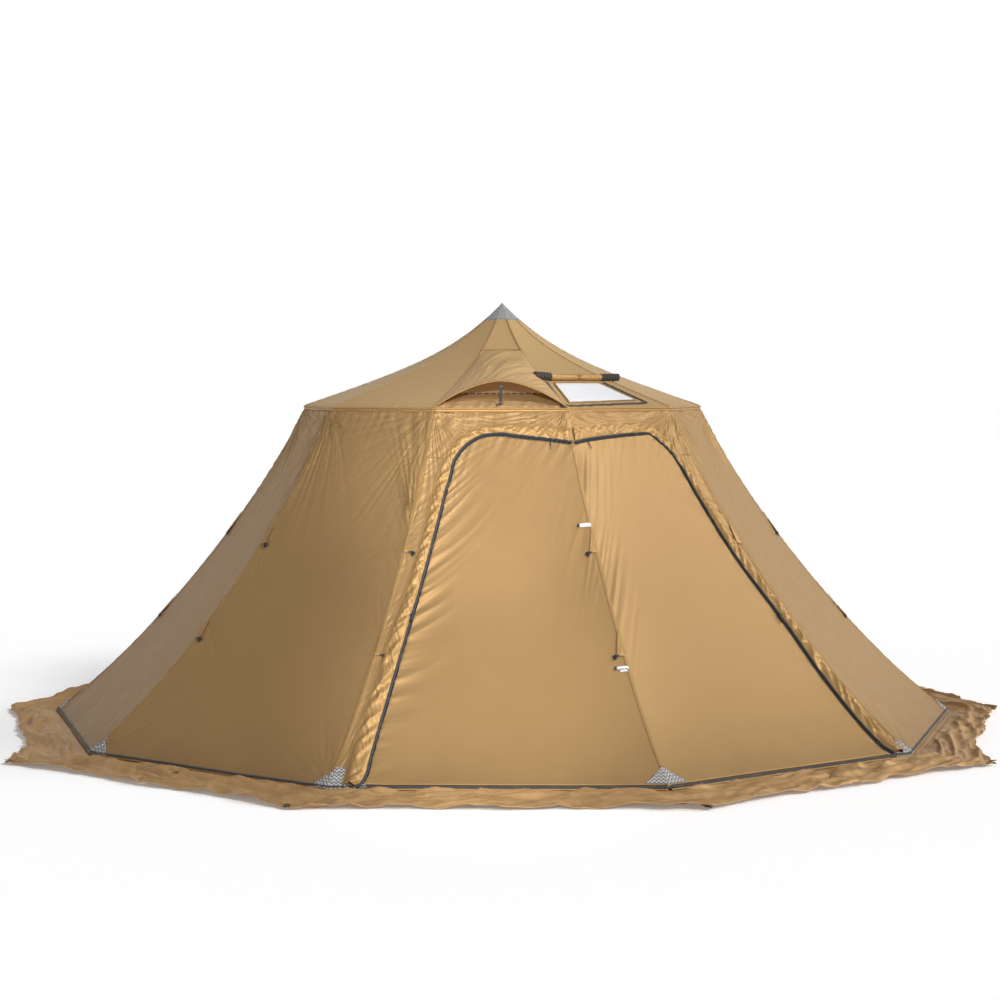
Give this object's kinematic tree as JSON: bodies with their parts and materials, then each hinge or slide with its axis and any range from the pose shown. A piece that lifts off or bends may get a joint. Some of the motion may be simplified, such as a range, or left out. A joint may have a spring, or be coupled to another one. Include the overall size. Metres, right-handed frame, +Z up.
{
  "type": "bell tent",
  "caption": "Ten-sided pyramid bell tent with a short upright eave, centre pole, double-width zipped door, propped roof vent, stove opening and ground skirt.",
  "frame": {"origin": "on the ground under the centre pole, in the middle of the tent's plan", "axes": "+Z up; the left half of the door faces -Y; +X to the right of someone who looks at the door along +Y"},
  "size_m": [5.5, 5.636, 2.2705],
  "materials": {
    "tent_cloth": "coated nylon, soft sheen",
    "skirt_cloth": "coated nylon, soft sheen, creased",
    "grey_reinforcement": "matte woven",
    "grey_webbing": "matte woven tape",
    "mosquito_mesh": "fine mesh",
    "fireproof_cloth": "silicone-coated glass cloth",
    "black_plastic": "moulded",
    "pole_aluminium": "anodised satin",
    "glass_fibre_rod": "resin, satin",
    "rubber_foot": "matte"
  },
  "bodies": {
    "tent": {"wall_panel_3": "tent_cloth", "wall_panel_4": "tent_cloth", "wall_panel_5": "tent_cloth", "wall_panel_6": "tent_cloth", "wall_panel_7": "tent_cloth", "wall_panel_8": "tent_cloth", "wall_panel_9": "tent_cloth", "wall_panel_10": "tent_cloth", "roof_panel_3": "tent_cloth", "roof_panel_4": "tent_cloth", "roof_panel_5": "tent_cloth", "roof_panel_6": "tent_cloth", "roof_panel_7": "tent_cloth", "roof_panel_8": "tent_cloth", "roof_panel_9": "tent_cloth", "roof_panel_10": "tent_cloth", "roof_panel_front": "tent_cloth", "roof_vent_band": "tent_cloth", "roof_panel_stove": "tent_cloth", "door_jamb_left": "tent_cloth", "door_jamb_right": "tent_cloth", "door_header_left": "tent_cloth", "door_header_right": "tent_cloth", "base_webbing": "grey_webbing", "eave_webbing": "grey_webbing", "vent_mesh": "mosquito_mesh", "vent_cheek_left": "tent_cloth", "vent_cheek_right": "tent_cloth", "stove_jack_panel": "fireproof_cloth", "apex_cap": "grey_reinforcement", "pole_foot": "rubber_foot", "pole_lower": "pole_aluminium", "pole_upper": "pole_aluminium", "pole_collar": "black_plastic", "pole_top_cap": "black_plastic", "strut_hub": "black_plastic", "mud_skirt_front": "skirt_cloth", "mud_skirt_right_front": "skirt_cloth", "mud_skirt_right_rear": "skirt_cloth", "mud_skirt_left_rear": "skirt_cloth", "mud_skirt_left_front": "skirt_cloth"},
    "door_left": {"door_leaf_left": "tent_cloth"},
    "door_right": {"door_leaf_right": "tent_cloth"},
    "zip_left": {"door_zip_slider_left": "black_plastic"},
    "zip_right": {"door_zip_slider_right": "black_plastic"},
    "hood": {"vent_hood_flap": "tent_cloth"},
    "prop": {"vent_prop": "grey_webbing"},
    "jack_cover": {"stove_jack_cover": "tent_cloth"},
    "strut_01": {"strut_01": "glass_fibre_rod"},
    "strut_02": {"strut_02": "glass_fibre_rod"},
    "strut_03": {"strut_03": "glass_fibre_rod"},
    "strut_04": {"strut_04": "glass_fibre_rod"},
    "strut_05": {"strut_05": "glass_fibre_rod"},
    "strut_06": {"strut_06": "glass_fibre_rod"},
    "strut_07": {"strut_07": "glass_fibre_rod"},
    "strut_08": {"strut_08": "glass_fibre_rod"},
    "strut_09": {"strut_09": "glass_fibre_rod"},
    "strut_10": {"strut_10": "glass_fibre_rod"}
  },
  "joints": [
    {"name": "door_left_open", "type": "hinge", "parent": "tent", "child": "door_left", "pos_m": [-0.62975, -2.33827, 0.03], "axis": [-0.2003, -0.6164, -0.7616], "range_deg": [0, 115]},
    {"name": "door_right_open", "type": "hinge", "parent": "tent", "child": "door_right", "pos_m": [1.90411, -1.50685, 0.03], "axis": [-0.5243, 0.3809, 0.7616], "range_deg": [0, 115]},
    {"name": "zip_left_slide", "type": "slide", "parent": "tent", "child": "zip_left", "axis": [-1, 0, 0], "range_m": [0, 0.3]},
    {"name": "zip_right_slide", "type": "slide", "parent": "tent", "child": "zip_right", "axis": [0.809, 0.5878, 0], "range_m": [0, 0.33]},
    {"name": "vent_hood_close", "type": "hinge", "parent": "tent", "child": "hood", "pos_m": [0, -0.33667, 2.00222], "axis": [1, 0, 0], "range_deg": [0, 5.5]},
    {"name": "vent_prop_fold", "type": "hinge", "parent": "tent", "child": "prop", "pos_m": [0, -1.01288, 1.72154], "axis": [-1, 0, 0], "range_deg": [0, 71.5]},
    {"name": "stove_cover_unroll", "type": "slide", "parent": "tent", "child": "jack_cover", "axis": [0.5496, -0.7565, -0.3546], "range_m": [0, 0.332]},
    {"name": "strut_01_fold", "type": "hinge", "parent": "tent", "child": "strut_01", "pos_m": [-0.01236, -0.03804, 1.66], "axis": [0.9511, -0.309, 0], "range_deg": [0, 84]},
    {"name": "strut_02_fold", "type": "hinge", "parent": "tent", "child": "strut_02", "pos_m": [0.01236, -0.03804, 1.66], "axis": [0.9511, 0.309, 0], "range_deg": [0, 84]},
    {"name": "strut_03_fold", "type": "hinge", "parent": "tent", "child": "strut_03", "pos_m": [0.03236, -0.02351, 1.66], "axis": [0.5878, 0.809, 0], "range_deg": [0, 84]},
    {"name": "strut_04_fold", "type": "hinge", "parent": "tent", "child": "strut_04", "pos_m": [0.04, 0, 1.66], "axis": [0, 1, 0], "range_deg": [0, 84]},
    {"name": "strut_05_fold", "type": "hinge", "parent": "tent", "child": "strut_05", "pos_m": [0.03236, 0.02351, 1.66], "axis": [-0.5878, 0.809, 0], "range_deg": [0, 84]},
    {"name": "strut_06_fold", "type": "hinge", "parent": "tent", "child": "strut_06", "pos_m": [0.01236, 0.03804, 1.66], "axis": [-0.9511, 0.309, 0], "range_deg": [0, 84]},
    {"name": "strut_07_fold", "type": "hinge", "parent": "tent", "child": "strut_07", "pos_m": [-0.01236, 0.03804, 1.66], "axis": [-0.9511, -0.309, 0], "range_deg": [0, 84]},
    {"name": "strut_08_fold", "type": "hinge", "parent": "tent", "child": "strut_08", "pos_m": [-0.03236, 0.02351, 1.66], "axis": [-0.5878, -0.809, 0], "range_deg": [0, 84]},
    {"name": "strut_09_fold", "type": "hinge", "parent": "tent", "child": "strut_09", "pos_m": [-0.04, 0, 1.66], "axis": [0, -1, 0], "range_deg": [0, 84]},
    {"name": "strut_10_fold", "type": "hinge", "parent": "tent", "child": "strut_10", "pos_m": [-0.03236, -0.02351, 1.66], "axis": [0.5878, -0.809, 0], "range_deg": [0, 84]}
  ],
  "couplings": [
    {"joint": "vent_prop_fold", "follows": "vent_hood_close", "ratio": 13},
    {"joint": "strut_02_fold", "follows": "strut_01_fold", "ratio": 1},
    {"joint": "strut_03_fold", "follows": "strut_01_fold", "ratio": 1},
    {"joint": "strut_04_fold", "follows": "strut_01_fold", "ratio": 1},
    {"joint": "strut_05_fold", "follows": "strut_01_fold", "ratio": 1},
    {"joint": "strut_06_fold", "follows": "strut_01_fold", "ratio": 1},
    {"joint": "strut_07_fold", "follows": "strut_01_fold", "ratio": 1},
    {"joint": "strut_08_fold", "follows": "strut_01_fold", "ratio": 1},
    {"joint": "strut_09_fold", "follows": "strut_01_fold", "ratio": 1},
    {"joint": "strut_10_fold", "follows": "strut_01_fold", "ratio": 1}
  ]
}
